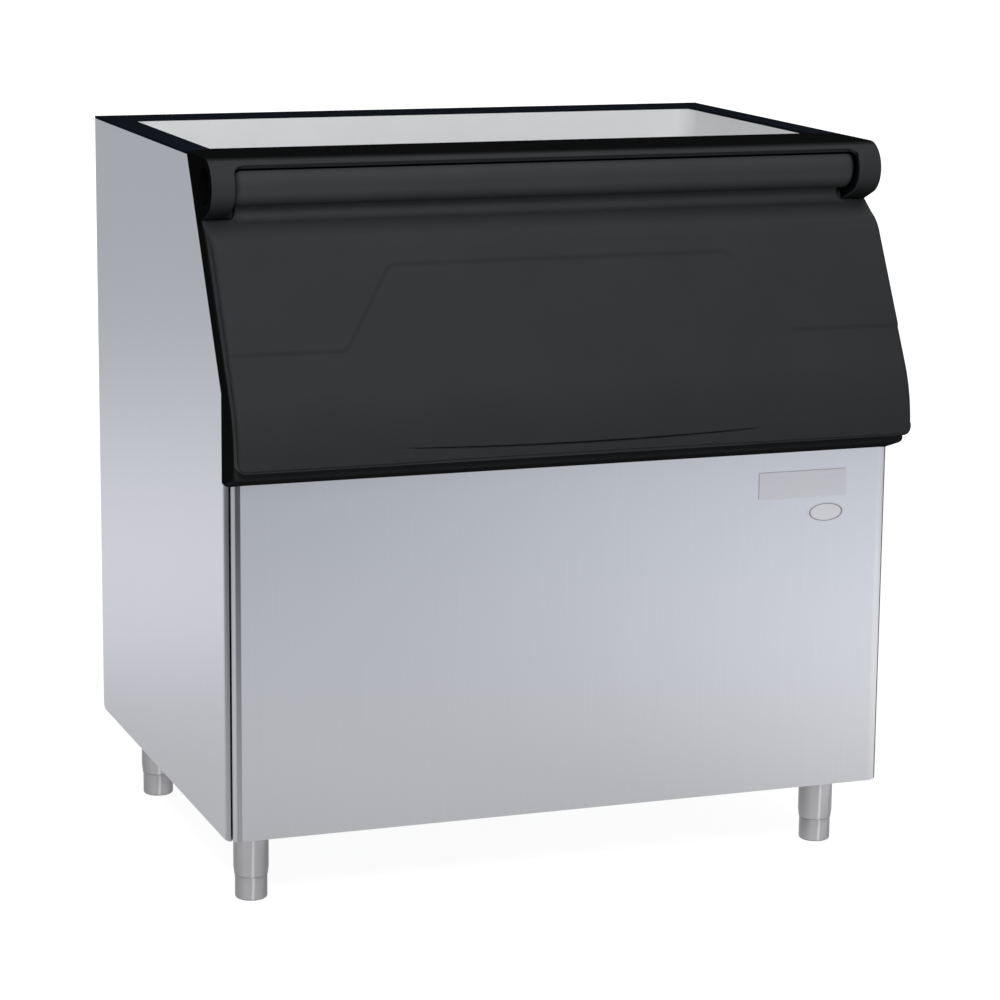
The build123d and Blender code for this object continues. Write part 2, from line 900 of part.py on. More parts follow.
def make_header_cover():
    wedge, _ = slope_at_height(overall_top, 0)
    skin = header_skin()
    wall = hinge_behind + channel_radius
    skirt_foot = header_under - header_skirt
    cover = across(skin, -opening_half, opening_half)
    cover += block(-opening_half, opening_half, wall, wall + header_wall, skirt_foot, header_under)
    ends = across(skin, opening_half, ear_inner + ear_edge) - behind_slope(0, overall_top + overrun)
    ears = across(ear_face(), ear_inner, half_width)
    ears -= ear_rounding()
    ears -= crossways(ear_recess_radius, half_width - ear_recess_depth, half_width)
    ears -= crossways(pin_radius, ear_inner, half_width)
    cover += both_sides(ends + ears)
    foot, _ = slope_at_height(case_top, 0)
    corners = [
        (half_width, foot),
        (half_width, wedge),
        (opening_half, header_rear),
        (-opening_half, header_rear),
        (-half_width, wedge),
        (-half_width, foot),
    ]
    points = [(x, front_y + behind, case_top) for x, behind in corners]
    top = Face(Wire.make_polygon(points, close=True))
    return cover + extrude(top, amount=rim_thickness, dir=(0, 0, 1))


def make_header_back():
    """White panel that closes the header at its rear and underneath."""
    front = hinge_behind + channel_radius + header_wall
    inner = header_rear - header_wall
    floor = header_under + header_wall
    wall_top = overall_top - header_wall
    under = block(-opening_half, opening_half, front, header_rear, header_under, floor)
    return under + block(-opening_half, opening_half, inner, header_rear, header_under, wall_top)


def make_header_core():
    """Foam inside the header."""
    radius, meeting = channel_back()
    inner = header_rear - header_wall
    floor = header_under + header_wall
    under_top = overall_top - header_wall
    edges = [hinge_arc(radius, 180, meeting)]
    edges += line(
        round_hinge(radius, meeting),
        side_point(inner, under_top),
        side_point(inner, floor),
        side_point(hinge_behind + radius, floor),
        round_hinge(radius, 180),
    )
    return across(Face(Wire(edges)), -opening_half, opening_half)


# Hinge


def make_hinge_pin():
    """The right pin, with its head in the ear's recess."""
    recess = half_width - ear_recess_depth
    pin = crossways(pin_radius, roll_half - pin_grip, recess)
    return pin + crossways(pin_head_radius, recess, recess + pin_head_depth)


def make_hinge_bush():
    """The right bush, with a collar that runs beside the ear."""
    inner = roll_half - bush_length
    collar_end = ear_inner - end_play
    bush = crossways(roll_radius - roll_wall, inner, roll_half)
    bush += crossways(collar_radius, roll_half, collar_end)
    return bush - crossways(pin_radius + running_clearance, inner, collar_end)


# Door


def shoulder(reach, depth):
    """Point a distance down the door's shoulder from the ears' feet, and a depth below it."""
    fall = math.radians(shoulder_fall)
    behind = stem[0] - reach * math.cos(fall) + depth * math.sin(fall)
    return behind, stem[1] - reach * math.sin(fall) - depth * math.cos(fall)


def shoulder_corner(out, depth):
    """Where a line below the shoulder meets a plane along the slope."""
    start = slope_out(*shoulder(0, depth))
    rate = math.cos(slope_angle + math.radians(shoulder_fall))
    return shoulder((out - start) / rate, depth)


def door_outline():
    tip = shoulder(shoulder_gap, 0)
    tip_along = slope_along(*tip)
    rear_corner = slope_at_behind(-door_rear_stand, door_rear)
    return outline(
        tip,
        (*shoulder_corner(door_proud, 0), shoulder_radius),
        (*slope_at_behind(-door_reach, door_proud), door_bend),
        (-door_reach, door_bottom),
        (-door_rear_stand, door_bottom),
        (*rear_corner, frame_bend),
        up_slope(tip_along - door_bevel, door_rear),
        up_slope(tip_along, slope_out(*tip) - shoulder_tip),
    )


def door_cavity():
    """Space inside the door's outer moulding."""
    wall = door_wall
    reach = door_reach - step_depth - wall
    proud = door_proud - step_depth - wall
    rear = door_rear + wall
    form = outline(
        shoulder_corner(rear + wall, wall),
        (*shoulder_corner(proud, wall), shoulder_radius - wall),
        (*slope_at_behind(-reach, proud), door_bend - wall),
        (-reach, door_bottom + wall),
        (-door_rear_stand - wall, door_bottom + wall),
        (*slope_at_behind(-door_rear_stand - wall, rear), frame_bend + wall),
        up_slope(slope_along(*shoulder_corner(rear, wall)), rear),
    )
    half = half_width - wall
    behind_grip = block(
        -grip_half - wall,
        grip_half + wall,
        -reach,
        grip_depth - reach,
        door_bottom + wall,
        door_bottom + grip_height + wall,
    )
    return across(form, -half, half) - behind_grip


def tray_inside():
    """Space inside the door's tray, open to the outer moulding."""
    half = plug_half - tray_wall
    foot = plug_foot + tray_wall
    head = plug_head - tray_wall
    return slope_block(-half, half, foot, head, plug_rear + tray_wall, door_rear + door_wall)


def neck_outline():
    """Side-view face of the neck between the roll and the door."""
    rear = hinge_behind + roll_radius
    front = rear - neck_thickness
    inside_roll = hinge_height - roll_radius / 2
    tongue_head = plug_head + tray_tongue
    return outline(
        (front, inside_roll),
        (rear, inside_roll),
        slope_at_behind(rear, plug_rear),
        up_slope(tongue_head, plug_rear),
        up_slope(tongue_head, plug_rear + tray_wall),
        up_slope(plug_head, plug_rear + tray_wall),
        up_slope(plug_head, door_rear + door_wall),
        shoulder_corner(door_rear + door_wall + door_wall, 0),
        shoulder((stem[0] - front) / math.cos(math.radians(shoulder_fall)), 0),
    )


def neck_cavity():
    """Space inside the wide part of the neck."""
    low = plug_rear + neck_solid
    high = door_rear + door_wall + door_wall
    foot = plug_head + tray_wall
    form = outline(
        up_slope(foot, low),
        up_slope(foot, high),
        shoulder_corner(high, door_wall),
        shoulder_corner(low + door_wall, door_wall),
        up_slope(plug_head + tray_tongue, low),
    )
    half = plug_half - tray_wall - tray_wall
    return across(form, -half, half)


def door_step():
    """Cut that sinks the lower part of the door's face and its hump."""
    wide = half_width + overrun
    low = -door_foot_drop - door_reach
    corners = [
        (-wide, low),
        (wide, low),
        (wide, step_along),
        (hump_foot_half, step_along),
        (hump_head_half, hump_along),
        (-hump_head_half, hump_along),
        (-hump_foot_half, step_along),
        (-wide, step_along),
    ]
    zone = Face(Wire.make_polygon([(x, along, 0) for x, along in corners], close=True))
    heads = [vertex for vertex in zone.vertices() if vertex.Y > hump_along - sheet]
    zone = zone.fillet_2d(hump_corner, heads)
    feet = [
        vertex
        for vertex in zone.vertices()
        if abs(vertex.Y - step_along) < sheet and abs(vertex.X) < half_width
    ]
    zone = zone.fillet_2d(step_corner, feet)
    foot_out = slope_out(-door_reach, door_bottom - overrun)
    depth = door_proud + overrun - foot_out
    column = extrude(slope_plane(foot_out) * zone, amount=depth, dir=slope_plane(0).z_dir)
    sunk_reach = door_reach - step_depth
    sunk_proud = door_proud - step_depth
    above = hump_along + overrun
    slab = outline(
        (-sunk_reach, door_bottom - overrun),
        (*slope_at_behind(-sunk_reach, sunk_proud), door_bend - step_depth),
        up_slope(above, sunk_proud),
        up_slope(above, door_proud + overrun),
        slope_at_behind(-door_reach - overrun, door_proud + overrun),
        (-door_reach - overrun, door_bottom - overrun),
    )
    return column & across(slab, -wide, wide)


def door_grip():
    """Shallow hollow for the fingers, deepest in the middle of the door's lower edge."""
    radius = (grip_half * grip_half + grip_depth * grip_depth) / (2 * grip_depth)
    middle = step_depth - door_reach + grip_depth - radius
    bowl = upright(0, middle, radius, door_bottom - overrun, door_bottom + grip_height)
    near = -door_reach - overrun
    foot = door_bottom - overrun
    return bowl & block(-grip_half, grip_half, near, 0, foot, door_bottom + grip_height)


def make_tray_screws():
    along = plug_head + tray_tongue / 2
    margin = plug_half - tray_screw_margin
    seat = plug_rear
    screws = []
    for x in spread(-margin, margin, tray_screw_count):
        head = slope_rod(x, along, tray_screw_head, seat - tray_screw_head_depth, seat)
        screws.append(head + slope_rod(x, along, tray_screw_radius, seat, seat + tray_screw_length))
    return screws


def make_door_shell(screws):
    body = across(door_outline(), -half_width, half_width)
    body = fillet(side_edges_under(body), door_bottom_corner)
    body = fillet(front_edges(body, door_reach, door_proud), door_edge)
    body -= door_step()
    body -= door_grip()
    body += across(neck_outline(), -plug_half, plug_half)
    body += crossways(roll_radius, -roll_half, roll_half)
    body -= door_cavity()
    body -= tray_inside()
    body -= neck_cavity()
    for screw in screws:
        body -= screw
    return body - crossways(roll_radius - roll_wall, -roll_half, roll_half)


def make_door_core():
    foam = door_cavity() + neck_cavity()
    foam += tray_inside()
    return foam - crossways(roll_radius, -roll_half, roll_half)


def make_door_inner_panel(screws):
    tongue_head = plug_head + tray_tongue
    face = plug_rear + tray_wall
    tray = slope_block(-plug_half, plug_half, plug_foot, plug_head, plug_rear, door_rear)
    tray += slope_block(-plug_half, plug_half, plug_foot, tongue_head, plug_rear, face)
    tray -= tray_inside()
    for screw in screws:
        tray -= screw
    return tray


# Legs and feet


def leg_places():
    """Name and middle of each leg."""
    x = half_width - leg_from_side
    rear = case_depth - leg_from_rear
    return {
        "front_left": (-x, leg_from_front),
        "front_right": (x, leg_from_front),
        "rear_left": (-x, rear),
        "rear_right": (x, rear),
    }


def make_leg_bolts():
    reach = plate_side / 2 - bolt_inset
    head_low = sleeve_top - bolt_head_depth
    bolts = []
    for x, behind in leg_places().values():
        for across_by in (-reach, reach):
            for back_by in (-reach, reach):
                place = (x + across_by, behind + back_by)
                shank = upright(*place, bolt_radius, sleeve_top, sleeve_top + bolt_length)
                bolts.append(shank + upright(*place, bolt_head_radius, head_low, sleeve_top))
    return bolts


def make_leg_plate(x, behind, bolts):
    half = plate_side / 2
    plate = block(x - half, x + half, behind - half, behind + half, sleeve_top, base_low)
    plate = fillet(plate.edges().filter_by(Axis.Z), plate_corner)
    for bolt in bolts:
        plate -= bolt
    return plate


def make_leg_sleeve(x, behind):
    bore = stud_radius + running_clearance
    inner = sleeve_radius - sleeve_wall
    insert_top = sleeve_low + insert_height
    return turned(
        x,
        behind,
        (bore, sleeve_low),
        (sleeve_end_radius, sleeve_low),
        (sleeve_radius, sleeve_low + sleeve_taper),
        (sleeve_radius, sleeve_top),
        (inner, sleeve_top),
        (inner, insert_top),
        (bore, insert_top),
    )


def make_foot(x, behind):
    cup = upright(x, behind, foot_radius, 0, foot_height)
    bottom = [edge for edge in cup.edges() if edge.center().Z < foot_edge]
    cup = fillet([edge for edge in bottom if edge.geom_type == GeomType.CIRCLE], foot_edge)
    return cup - upright(x, behind, stud_radius, stud_seat, foot_height)


def make_foot_stud(x, behind):
    return upright(x, behind, stud_radius, stud_seat, stud_top)


# The whole bin


def build():
    """Every node by name."""
    frame_block = make_frame_block()
    liner_block = make_liner_block()
    frame_screws = make_frame_screws()
    rear_screws = make_rear_screws()
    bolts = make_leg_bolts()
    tray_screws = make_tray_screws()
    hollow = frame_hollow()
    frame = frame_block - hollow
    for screw in frame_screws:
        frame -= screw
        hollow -= screw
    right_panel = make_side_panel(frame_block, frame_screws + rear_screws)
    left_panel = mirror(right_panel, Plane.YZ)
    post = make_corner_post()
    fitting = make_drain_fitting()
    nut = make_drain_nut()
    solid_pipe = make_drain_pipe(pipe_radius)
    outlet = make_drain_outlet()
    buried = [fitting, nut, solid_pipe, outlet, *bolts, *rear_screws, *frame_screws]
    pin = make_hinge_pin()
    bush = make_hinge_bush()
    core = make_door_core()
    for screw in tray_screws:
        core -= screw
    nodes = {
        "right_side_panel": right_panel,
        "left_side_panel": left_panel,
        "front_panel": make_front_panel(frame_block),
        "right_corner_post": post,
        "left_corner_post": mirror(post, Plane.YZ),
        "rear_panel": make_rear_panel(rear_screws),
        "rear_panel_screws": rear_screws,
        "base_panel": make_base_panel(bolts),
        "insulation": make_insulation(liner_block, frame_block, buried),
        "ice_liner": make_ice_liner(liner_block, frame_block),
        "top_rim": make_top_rim(),
        "header_cover": make_header_cover(),
        "header_core": make_header_core(),
        "header_back": make_header_back(),
        "door_frame": frame,
        "frame_core": hollow,
        "frame_screws": frame_screws,
        "door_seal": make_door_seal(),
        "right_hinge_pin": pin,
        "left_hinge_pin": mirror(pin, Plane.YZ),
        "right_hinge_bush": bush,
        "left_hinge_bush": mirror(bush, Plane.YZ),
        "door_shell": make_door_shell(tray_screws),
        "door_core": core,
        "door_inner_panel": make_door_inner_panel(tray_screws),
        "door_screws": tray_screws,
        "drain_fitting": fitting,
        "drain_nut": nut,
        "drain_pipe": solid_pipe - make_drain_pipe(drain_bore),
        "drain_strainer": make_drain_strainer(),
        "drain_outlet": outlet,
        "drain_locknut": make_drain_locknut(),
        "badge_plate": make_badge_plate(),
        "oval_badge": make_oval_badge(),
        "leg_bolts": bolts,
    }
    for name, (x, behind) in leg_places().items():
        nodes[name + "_leg_plate"] = make_leg_plate(x, behind, bolts)
        nodes[name + "_leg_sleeve"] = make_leg_sleeve(x, behind)
        nodes[name + "_foot"] = make_foot(x, behind)
        nodes[name + "_foot_stud"] = make_foot_stud(x, behind)
    return nodes


def save(name, shape):
    """Write a node to its own file; a list of solids becomes one node."""
    solids = shape if isinstance(shape, list) else [shape]
    parts = [solid for item in solids for solid in item.solids()]
    export_step(parts[0] if len(parts) == 1 else Compound(parts), "parts/" + name + ".step")


os.makedirs("parts", exist_ok=True)
for node, form in build().items():
    save(node, form)
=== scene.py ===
import json
import math

import bmesh
import bpy
import numpy as np
from mathutils import Matrix, Vector


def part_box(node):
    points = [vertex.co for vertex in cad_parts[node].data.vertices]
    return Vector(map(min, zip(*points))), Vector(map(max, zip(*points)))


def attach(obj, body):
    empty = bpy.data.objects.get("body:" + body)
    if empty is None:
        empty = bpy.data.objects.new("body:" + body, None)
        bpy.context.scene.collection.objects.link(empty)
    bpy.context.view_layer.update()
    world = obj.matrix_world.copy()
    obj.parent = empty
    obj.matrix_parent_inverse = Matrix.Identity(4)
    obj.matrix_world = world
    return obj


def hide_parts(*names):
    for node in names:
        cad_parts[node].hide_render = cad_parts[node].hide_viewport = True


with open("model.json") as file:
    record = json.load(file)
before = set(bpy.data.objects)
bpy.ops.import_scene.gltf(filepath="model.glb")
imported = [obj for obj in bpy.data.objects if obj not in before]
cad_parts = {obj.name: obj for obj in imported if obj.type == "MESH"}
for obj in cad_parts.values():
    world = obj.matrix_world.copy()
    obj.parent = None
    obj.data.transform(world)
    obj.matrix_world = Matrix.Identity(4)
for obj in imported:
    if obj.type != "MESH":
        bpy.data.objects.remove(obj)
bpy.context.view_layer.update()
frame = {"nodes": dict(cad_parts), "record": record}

nodes = frame["nodes"]

# Places taken from the CAD parts, in metres; a side-view place is (behind the front, height)


def measured(node, end, axis):
    """Where a CAD part's box starts (end 0) or stops (end 1) along an axis, to a tenth of a millimetre."""
    return round(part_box(node)[end][axis], 4)


HALF_WIDTH = measured("door_shell", 1, 0)
FRONT_Y = measured("front_panel", 0, 1)
TOP = measured("header_cover", 1, 2)
DOOR_BOTTOM = measured("door_shell", 0, 2)
_, hinge_y, hinge_height = frame["record"]["behaviour"]["joints"][0]["pos_m"]
HINGE = (round(hinge_y - FRONT_Y, 4), hinge_height)
SLOPE_FOOT = 0.754
SLOPE_RUN = 0.206
SLOPE_ANGLE = math.atan2(SLOPE_RUN, TOP - SLOPE_FOOT)
CORNERS = ("front_left", "front_right", "rear_left", "rear_right")


# Camera

SENSOR = 36
LENS = 118.9
CAMERA_ANGLES = (-20.09, 11.81, 0.57)
CAMERA_AIM = (0.0338, 0.0216, 0.526)
CAMERA_DISTANCE = 5.3679


def place_camera():
    """Camera at an azimuth, elevation and roll round the point that it aims at."""
    data = bpy.data.cameras.new("camera")
    data.sensor_width = SENSOR
    data.lens = LENS
    data.clip_end = 200
    camera = bpy.data.objects.new("camera", data)
    azimuth, elevation, roll = (math.radians(angle) for angle in CAMERA_ANGLES)
    back = Vector(
        (
            math.sin(azimuth) * math.cos(elevation),
            -math.cos(azimuth) * math.cos(elevation),
            math.sin(elevation),
        )
    )
    level = Vector((math.cos(azimuth), math.sin(azimuth), 0))
    upward = back.cross(level)
    right = level * math.cos(roll) + upward * math.sin(roll)
    up = upward * math.cos(roll) - level * math.sin(roll)
    place = Matrix((right, up, back)).transposed().to_4x4()
    place.translation = Vector(CAMERA_AIM) + back * CAMERA_DISTANCE
    camera.matrix_world = place
    bpy.context.scene.collection.objects.link(camera)
    bpy.context.scene.camera = camera


place_camera()


# Materials


class Tree:
    """A node tree under construction."""

    def __init__(self, tree):
        self.tree = tree

    def add(self, kind, **settings):
        node = self.tree.nodes.new(kind)
        for key, value in settings.items():
            setattr(node, key, value)
        return node

    def link(self, source, target):
        self.tree.links.new(source, target)

    def math(self, operation, first, second):
        """Result of a sum on two values, each a socket or a number."""
        node = self.add("ShaderNodeMath", operation=operation)
        for socket, value in zip(node.inputs, (first, second)):
            if isinstance(value, bpy.types.NodeSocket):
                self.link(value, socket)
            else:
                socket.default_value = value
        return node.outputs["Value"]

    def spread(self, value, low, high, start=0.25, end=0.75):
        """A value between start and end spread between low and high."""
        remap = self.add("ShaderNodeMapRange")
        remap.inputs["From Min"].default_value = start
        remap.inputs["From Max"].default_value = end
        remap.inputs["To Min"].default_value = low
        remap.inputs["To Max"].default_value = high
        self.link(value, remap.inputs["Value"])
        return remap.outputs["Result"]

    def parts(self, vector):
        """The three values of a vector."""
        split = self.add("ShaderNodeSeparateXYZ")
        self.link(vector, split.inputs[0])
        return split.outputs["X"], split.outputs["Y"], split.outputs["Z"]

    def ramp(self, value, stops):
        """Colour from stops, each a value from 0 to 1 and a colour."""
        ramp = self.add("ShaderNodeValToRGB")
        elements = ramp.color_ramp.elements
        for index, (position, color) in enumerate(stops):
            stop = elements[index] if index < 2 else elements.new(position)
            stop.position = position
            stop.color = (*color, 1)
        self.link(value, ramp.inputs["Fac"])
        return ramp.outputs["Color"]


class Shader(Tree):
    """A material under construction: one Principled shader and the nodes that feed it."""

    def __init__(self, name, color, roughness, metallic=0.0, specular=0.5):
        self.material = bpy.data.materials.new(name)
        self.material.use_nodes = True
        super().__init__(self.material.node_tree)
        self.shader = self.tree.nodes["Principled BSDF"]
        self.color = color
        self.shader.inputs["Base Color"].default_value = (*color, 1)
        self.shader.inputs["Roughness"].default_value = roughness
        self.shader.inputs["Metallic"].default_value = metallic
        self.shader.inputs["Specular IOR Level"].default_value = specular
        coordinates = self.add("ShaderNodeTexCoord")
        self.place = coordinates.outputs["Object"]
        self.facing = coordinates.outputs["Normal"]

    def stretched(self, scale):
        """Object coordinates, stretched."""
        mapping = self.add("ShaderNodeMapping")
        mapping.inputs["Scale"].default_value = scale
        self.link(self.place, mapping.inputs["Vector"])
        return mapping.outputs["Vector"]

    def noise(self, size, detail=2.0, stretch=(1, 1, 1), roughness=0.5):
        """Noise whose cells are about size metres across."""
        noise = self.add("ShaderNodeTexNoise")
        noise.inputs["Scale"].default_value = 1 / size
        noise.inputs["Detail"].default_value = detail
        noise.inputs["Roughness"].default_value = roughness
        self.link(self.stretched(stretch), noise.inputs["Vector"])
        return noise.outputs["Fac"]

    def distance(self, centre, scale):
        """Distance from a place, with each axis scaled."""
        centred = self.add("ShaderNodeVectorMath", operation="SUBTRACT")
        centred.inputs[1].default_value = centre
        self.link(self.place, centred.inputs[0])
        scaled = self.add("ShaderNodeVectorMath", operation="MULTIPLY")
        scaled.inputs[1].default_value = scale
        self.link(centred.outputs["Vector"], scaled.inputs[0])
        length = self.add("ShaderNodeVectorMath", operation="LENGTH")
        self.link(scaled.outputs["Vector"], length.inputs[0])
        return length.outputs["Value"]

    def shade(self, value, low, high):
        """Brightens and darkens the base colour by a 0 to 1 value."""
        self.tone(self.spread(value, low, high))

    def tone(self, scale):
        """Multiplies the base colour by a value."""
        tone_and_light = self.add("ShaderNodeVectorMath", operation="SCALE")
        tone_and_light.inputs[0].default_value = self.color
        self.link(scale, tone_and_light.inputs["Scale"])
        self.link(tone_and_light.outputs["Vector"], self.shader.inputs["Base Color"])

    def polish(self, value, low, high):
        """Spreads the roughness between low and high by a 0 to 1 value."""
        self.link(self.spread(value, low, high), self.shader.inputs["Roughness"])

    def relief(self, value, height, strength):
        """Fine relief whose full height is in metres."""
        bump = self.add("ShaderNodeBump")
        bump.inputs["Distance"].default_value = height
        bump.inputs["Strength"].default_value = strength
        self.link(value, bump.inputs["Height"])
        self.link(bump.outputs["Normal"], self.shader.inputs["Normal"])


def brushed(name, color, roughness, grain, metallic=1.0, tone_and_light=None):
    """Metal sheet or tube with a fine drawn grain, which runs along the axis with the small stretch."""
    metal = Shader(name, color, roughness, metallic)
    fine = metal.noise(0.0009, 3, grain)
    metal.polish(fine, roughness - 0.02, roughness + 0.02)
    tone = metal.spread(metal.noise(0.004, 2, grain), 0.99, 1.01)
    # A tint, if given, multiplies painted reflection and painted shade into the grain's tone
    metal.tone(metal.math("MULTIPLY", tone, tone_and_light(metal)) if tone_and_light else tone)
    metal.relief(fine, 0.00003, 0.25)
    return metal.material


# Brightest of the painted reflection tones in the two tables below
PEAK = 1.5

# Painted reflection tones of a sheet's left-hand bend, from facing ahead (0) to facing left (1)
BEND_REFLECTION = (
    (0.0, 1.0),
    (0.015, 1.12),
    (0.05, 1.15),
    (0.09, 0.22),
    (0.33, 0.18),
    (0.40, 0.85),
    (0.50, 0.85),
    (0.60, 0.62),
    (0.80, 0.22),
    (0.94, 0.38),
    (0.985, 0.92),
    (1.0, 1.0),
)

# Painted reflection tones round a leg, with a painted highlight, from facing left (0) to facing right (1)
LEG_REFLECTION = (
    (0.0, 0.62),
    (0.08, 0.80),
    (0.20, 0.98),
    (0.36, 0.98),
    (0.40, 1.45),
    (0.43, 1.45),
    (0.47, 0.98),
    (0.58, 0.92),
    (0.70, 0.82),
    (0.80, 0.58),
    (0.90, 0.50),
    (1.0, 0.80),
)


def grey(stops, peak):
    """Stops whose tones are greys, as shares of the brightest."""
    return [(position, (tone / peak,) * 3) for position, tone in stops]


def painted_bend_reflection(metal):
    """Painted reflection bands on the bends of a sheet, which fade towards the floor."""
    sideways, _, _ = metal.parts(metal.facing)
    _, _, height = metal.parts(metal.place)
    bands = metal.ramp(metal.math("MULTIPLY", sideways, -1), grey(BEND_REFLECTION, PEAK))
    bands = metal.math("MULTIPLY", bands, PEAK)
    share = metal.spread(height, 0.45, 1, 0.15, 0.6)
    change = metal.math("MULTIPLY", metal.math("SUBTRACT", bands, 1), share)
    return metal.math("ADD", change, 1)


def painted_leg_reflection(metal):
    """Painted reflection streaks round a tube, with painted shade where it faces down."""
    sideways, _, upwards = metal.parts(metal.facing)
    reflected_streaks = metal.ramp(metal.spread(sideways, 0, 1, -1, 1), grey(LEG_REFLECTION, PEAK))
    return metal.math("MULTIPLY", reflected_streaks, metal.spread(upwards, 0.6, PEAK, -0.8, -0.15))


def textured(plastic, roughness):
    """Gives plastic its fine moulded texture and slight changes of gloss."""
    plastic.polish(plastic.noise(0.02, 3), roughness - 0.03, roughness + 0.03)
    plastic.relief(plastic.noise(0.0012, 2), 0.00006, 0.4)


def moulded(name, color, roughness, tone=0.06):
    """Moulded plastic with slight changes of tone."""
    plastic = Shader(name, color, roughness)
    plastic.shade(plastic.noise(0.09, 3), 1 - tone, 1 + tone)
    textured(plastic, roughness)
    return plastic.material


def painted_shade_plastic(name, color, side=1.0, top=1.0, crown=(0.7, 0.9), specular=0.05, paler=None, recess_shade=None):
    """Moulded plastic with painted shade and painted light that change with where it faces.

    side and top are its painted tones where it faces sideways and up, and crown is where the top's tone
    starts and is whole; where it faces down it always gets painted shade. paler is a start height, an end
    height and a gain, by which it grows lighter from the one height to the other. The last argument is the
    radius of painted shade in the recesses on the hinge axis.
    """
    roughness = 0.5
    plastic = Shader(name, color, roughness, 0, specular)
    sideways, _, upwards = plastic.parts(plastic.facing)
    # The first factor is a random change of tone; the others are painted shade where it faces sideways or
    # down and painted light or shade where it faces up
    factors = [
        plastic.spread(plastic.noise(0.09, 3), 0.96, 1.04),
        plastic.spread(plastic.math("ABSOLUTE", sideways, 0), 1, side, 0.75, 0.97),
        plastic.spread(upwards, 0.5, 1, -0.95, -0.35),
        plastic.spread(upwards, 1, top, *crown),
    ]
    if paler:
        start, end, gain = paler
        _, _, height = plastic.parts(plastic.place)
        factors.append(plastic.spread(height, 1, gain, start, end))
    if recess_shade:
        # Painted shade in the recesses round the hinge axis
        off_axis = plastic.distance((0, FRONT_Y + HINGE[0], HINGE[1]), (0, 1, 1))
        factors.append(plastic.spread(off_axis, 0.08, 1, recess_shade, recess_shade + 0.001))
    tone = factors[0]
    for factor in factors[1:]:
        tone = plastic.math("MULTIPLY", tone, factor)
    plastic.tone(tone)
    textured(plastic, roughness)
    return plastic.material


def foam_material():
    """Yellowish rigid foam with fine cells."""
    foam = Shader("foam", (0.8, 0.72, 0.5), 0.9)
    foam.shade(foam.noise(0.003, 4), 0.85, 1.05)
    foam.relief(foam.noise(0.0015, 4), 0.0006, 0.8)
    return foam.material


def oval_material():
    """Pale plate with a thin dark ring just inside its edge."""
    low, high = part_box("oval_badge")
    plate = Shader("oval_plate", (0.72, 0.74, 0.78), 0.35)
    across = (2 / (high.x - low.x), 0, 2 / (high.z - low.z))
    tones = ((0, 0.72), (0.84, 0.72), (0.87, 0.2), (0.92, 0.2), (0.95, 0.72))
    stops = [(position, (tone, tone * 1.02, tone * 1.08)) for position, tone in tones]
    rings = plate.ramp(plate.distance((low + high) / 2, across), stops)
    plate.link(rings, plate.shader.inputs["Base Color"])
    plate.relief(plate.noise(0.0008, 2), 0.00003, 0.3)
    return plate.material


# Stretches that make a grain run up a piece, run across it, or show no direction
UP = (1, 1, 0.02)
ACROSS_SHEET = (0.02, 1, 1)
EVEN = (1, 1, 1)

# Radius of the recesses in the header's round ears, inside which its plastic gets painted shade
RECESS = 0.0271

# The steel's bends carry painted reflection bands
STEEL = brushed("stainless", (0.66, 0.67, 0.705), 0.32, UP, tone_and_light=painted_bend_reflection)
# The door's plastic, with painted shade where it faces sideways or down and painted light where it faces up
SHELL = painted_shade_plastic("black_plastic", (0.0268, 0.0281, 0.0297), 0.35, 1.35)
# The roll and neck are lighter copies of the door's plastic, painted light, with a painted paler band and
# painted shade on their sides and undersides
ROLL_LIT = painted_shade_plastic("roll_plastic_lit", (0.036, 0.0378, 0.0398), 0.35, paler=(1.085, 1.062, 1.6))
NECK_LIT = painted_shade_plastic("neck_plastic_lit", (0.030, 0.0315, 0.0332), 0.35, paler=(1.026, 1.040, 1.9))
# The header's plastic, with its sides and top painted dark as shade and painted shade in its ear recesses
HEADER = painted_shade_plastic(
    "header_plastic_shaded",
    (0.033, 0.0345, 0.0362),
    side=0.12,
    top=0.14,
    crown=(0.87, 0.985),
    specular=0,
    recess_shade=RECESS,
)
POST = painted_shade_plastic("post_plastic", (0.006, 0.006, 0.007), specular=0, paler=(0.5, 0.2, 12))
# A darker copy of the black plastic for the frame, painted shade, with its sides and top painted darker still
FRAME = painted_shade_plastic("frame_plastic_shaded", (0.020, 0.021, 0.022), 0.3, 0.5, specular=0)
# Near-black, for the strip that stands in for the shadow in the lip's gap: a painted shadow
SHADOW_STRIP = painted_shade_plastic("painted_shadow_strip", (0.001, 0.001, 0.001), specular=0)
NAVY = painted_shade_plastic("rim_plastic", (0.0075, 0.0095, 0.0145), specular=0)
WHITE = moulded("liner_plastic", (0.78, 0.79, 0.8), 0.35, 0.02)
FOAM = foam_material()
RUBBER = moulded("seal_rubber", (0.02, 0.02, 0.02), 0.6)
SCREW = brushed("screw_steel", (0.6, 0.6, 0.6), 0.3, EVEN)
BUSH = moulded("bush_plastic", (0.02, 0.02, 0.021), 0.4)
DRAIN = moulded("drain_plastic", (0.25, 0.26, 0.27), 0.4)
# The legs carry a painted highlight and painted reflection streaks, and painted shade where they face down
LEG = brushed("leg_steel", (0.58, 0.58, 0.60), 0.3, UP, tone_and_light=painted_leg_reflection)
PLATE = brushed("plate_steel", (0.5, 0.5, 0.5), 0.4, EVEN)
BADGE = brushed("badge_metal", (0.66, 0.66, 0.69), 0.42, ACROSS_SHEET, 0.8)
OVAL = oval_material()

